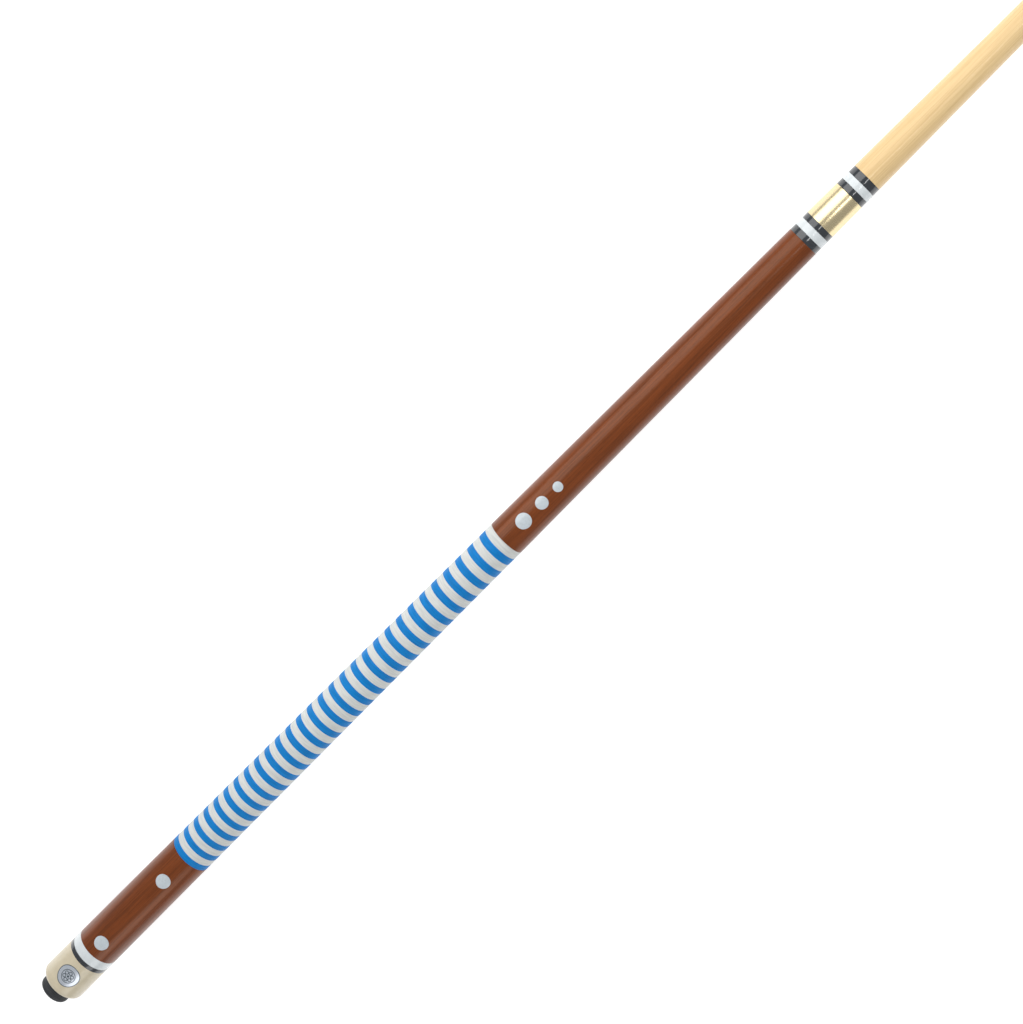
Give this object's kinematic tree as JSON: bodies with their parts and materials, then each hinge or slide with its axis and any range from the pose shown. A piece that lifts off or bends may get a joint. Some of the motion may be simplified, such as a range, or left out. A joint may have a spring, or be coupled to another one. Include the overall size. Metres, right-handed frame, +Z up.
{
  "type": "pool cue",
  "caption": "Two-piece tapered pool cue with a ringed linen grip, dotted wooden butt, brass collar, screw joint, maple shaft and domed leather tip, for striking balls.",
  "frame": {"origin": "centre of the bumper's flat foot, on the cue's axis, at the butt end", "axes": "+X along the cue's axis from the butt towards the tip, +Z up when the cue lies with its medallion on top, +Y to the left seen from the butt"},
  "size_m": [1.4732, 0.031, 0.031],
  "materials": {
    "bumper_rubber": "matt black rubber",
    "red_fibre": "dark red vulcanised fibre",
    "screw_steel": "turned steel",
    "cream_resin": "cream resin, polished",
    "silver_inlay": "silver inlay under lacquer",
    "black_resin": "black resin, polished",
    "white_resin": "white resin, polished",
    "stained_wood": "brown stained wood under clear lacquer",
    "pearl_inlay": "pale pearl inlay under lacquer",
    "maple": "plain maple",
    "shaft_maple": "maple, satin lacquer",
    "plain_brass": "turned brass",
    "polished_brass": "polished pale brass",
    "blue_linen": "blue linen thread, pressed and sealed",
    "white_linen": "off-white linen thread, pressed and sealed",
    "ferrule_resin": "ivory white resin",
    "tip_leather": "pressed leather, chalked"
  },
  "bodies": {
    "butt": {"butt_cap": "cream_resin", "cap_medallion": "silver_inlay", "cap_ring_black": "black_resin", "cap_ring_white": "white_resin", "butt_sleeve": "stained_wood", "sleeve_dots": "pearl_inlay", "handle_core": "maple", "butt_bush": "plain_brass", "wrap_blue_bands": "blue_linen", "wrap_white_bands": "white_linen", "a_joint_stud": "screw_steel", "forearm": "stained_wood", "forearm_dots_large": "pearl_inlay", "forearm_dots_medium": "pearl_inlay", "forearm_dots_small": "pearl_inlay", "collar_ring_black_rear": "black_resin", "collar_ring_white": "white_resin", "collar_ring_black_front": "black_resin", "joint_collar": "polished_brass", "joint_pin": "screw_steel"},
    "shaft_ring": {"shaft_ring_joint": "black_resin"},
    "shaft": {"shaft_ring_white": "white_resin", "shaft_ring_black": "black_resin", "shaft_insert": "plain_brass", "shaft": "shaft_maple", "ferrule": "ferrule_resin", "tip_pad": "red_fibre", "tip": "tip_leather"},
    "bumper_washer": {"bumper_washer": "red_fibre"},
    "bumper": {"bumper": "bumper_rubber", "bumper_stud": "screw_steel"},
    "weight_bolt": {"weight_bolt": "screw_steel"}
  },
  "joints": [
    {"name": "shaft_draw", "type": "slide", "parent": "butt", "child": "shaft_ring", "axis": [1, 0, 0], "range_m": [0, 0.0282]},
    {"name": "shaft_turn", "type": "hinge", "parent": "shaft_ring", "child": "shaft", "pos_m": [0.7366, 0, 0], "axis": [1, 0, 0], "range_deg": [0, 7200]},
    {"name": "bumper_draw", "type": "slide", "parent": "butt", "child": "bumper_washer", "axis": [-1, 0, 0], "range_m": [0, 0.0138]},
    {"name": "bumper_turn", "type": "hinge", "parent": "bumper_washer", "child": "bumper", "pos_m": [0, 0, 0], "axis": [-1, 0, 0], "range_deg": [0, 2520]},
    {"name": "weight_slide", "type": "slide", "parent": "butt", "child": "weight_bolt", "axis": [1, 0, 0], "range_m": [-0.004, 0.012]}
  ],
  "couplings": [
    {"joint": "shaft_turn", "follows": "shaft_draw", "rad_per_m": 4452.7},
    {"joint": "bumper_draw", "follows": "bumper_turn", "m_per_rad": 0.00031096}
  ]
}
